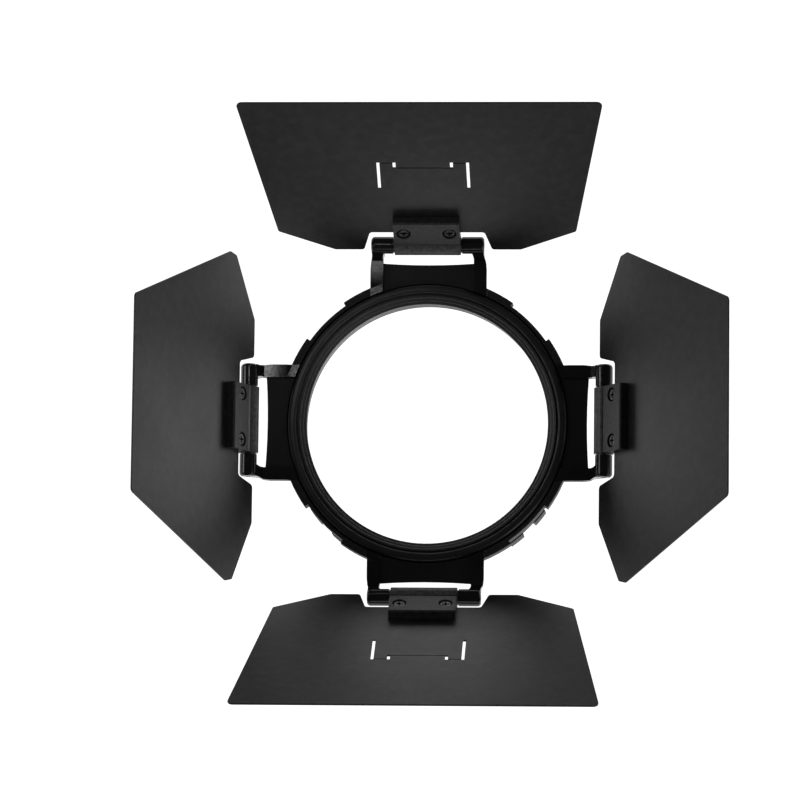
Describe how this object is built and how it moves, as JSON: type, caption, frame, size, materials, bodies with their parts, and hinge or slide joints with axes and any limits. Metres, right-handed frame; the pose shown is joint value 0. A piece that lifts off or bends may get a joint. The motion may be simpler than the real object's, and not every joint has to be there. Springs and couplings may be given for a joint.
{
  "type": "barn door attachment",
  "caption": "Slip-on ring for a round lamp head with flared black leaves on friction hinges that shape the beam; the leaf ring turns on its mounting sleeve.",
  "frame": {"origin": "centre of the lamp socket at the rear face, on the ring's axis", "axes": "+Z along the ring's axis in the direction of the beam, +Y towards the top leaf, +X towards the right leaf seen from the front"},
  "size_m": [0.1604, 0.1641, 0.077],
  "materials": {
    "leaf_coating": "fine-grained matte black powder coat on steel sheet",
    "block_casting": "rough cast texture under black paint",
    "ring_plastic": "moulded glass-filled nylon, smooth and slightly satin",
    "bezel_black": "satin black anodised, turned",
    "screw_steel": "black oxide with bright wear on the slots",
    "pin_steel": "drawn steel",
    "spring_steel": "blued spring steel",
    "magnet_nickel": "nickel plated",
    "washer_plastic": "off-white slip plastic"
  },
  "bodies": {
    "mount": {"mount_sleeve": "ring_plastic", "holding_magnets": "magnet_nickel", "rear_glide_washer": "washer_plastic", "front_glide_washer": "washer_plastic", "front_bezel": "bezel_black", "bezel_screws": "screw_steel"},
    "ring": {"turning_ring": "ring_plastic", "top_hinge_pin": "pin_steel", "right_hinge_pin": "pin_steel", "bottom_hinge_pin": "pin_steel", "left_hinge_pin": "pin_steel"},
    "top_door": {"top_leaf": "leaf_coating", "top_hinge_block": "block_casting", "top_backing_plate": "block_casting", "top_clamp_screws": "screw_steel", "top_hinge_washers": "spring_steel"},
    "right_door": {"right_leaf": "leaf_coating", "right_hinge_block": "block_casting", "right_backing_plate": "block_casting", "right_clamp_screws": "screw_steel", "right_hinge_washers": "spring_steel"},
    "bottom_door": {"bottom_leaf": "leaf_coating", "bottom_hinge_block": "block_casting", "bottom_backing_plate": "block_casting", "bottom_clamp_screws": "screw_steel", "bottom_hinge_washers": "spring_steel"},
    "left_door": {"left_leaf": "leaf_coating", "left_hinge_block": "block_casting", "left_backing_plate": "block_casting", "left_clamp_screws": "screw_steel", "left_hinge_washers": "spring_steel"}
  },
  "joints": [
    {"name": "ring_turn", "type": "hinge", "parent": "mount", "child": "ring", "pos_m": [0, 0, 0.01395], "axis": [0, 0, 1], "continuous": true},
    {"name": "top_hinge", "type": "hinge", "parent": "ring", "child": "top_door", "pos_m": [0, 0.0495, 0.0221], "axis": [1, 0, 0], "range_deg": [-139, 86]},
    {"name": "right_hinge", "type": "hinge", "parent": "ring", "child": "right_door", "pos_m": [0.0495, 0, 0.0221], "axis": [0, -1, 0], "range_deg": [-135.5, 119.5]},
    {"name": "bottom_hinge", "type": "hinge", "parent": "ring", "child": "bottom_door", "pos_m": [0, -0.0495, 0.0221], "axis": [-1, 0, 0], "range_deg": [-135, 90]},
    {"name": "left_hinge", "type": "hinge", "parent": "ring", "child": "left_door", "pos_m": [-0.0495, 0, 0.0221], "axis": [0, 1, 0], "range_deg": [-144.5, 113.5]}
  ]
}
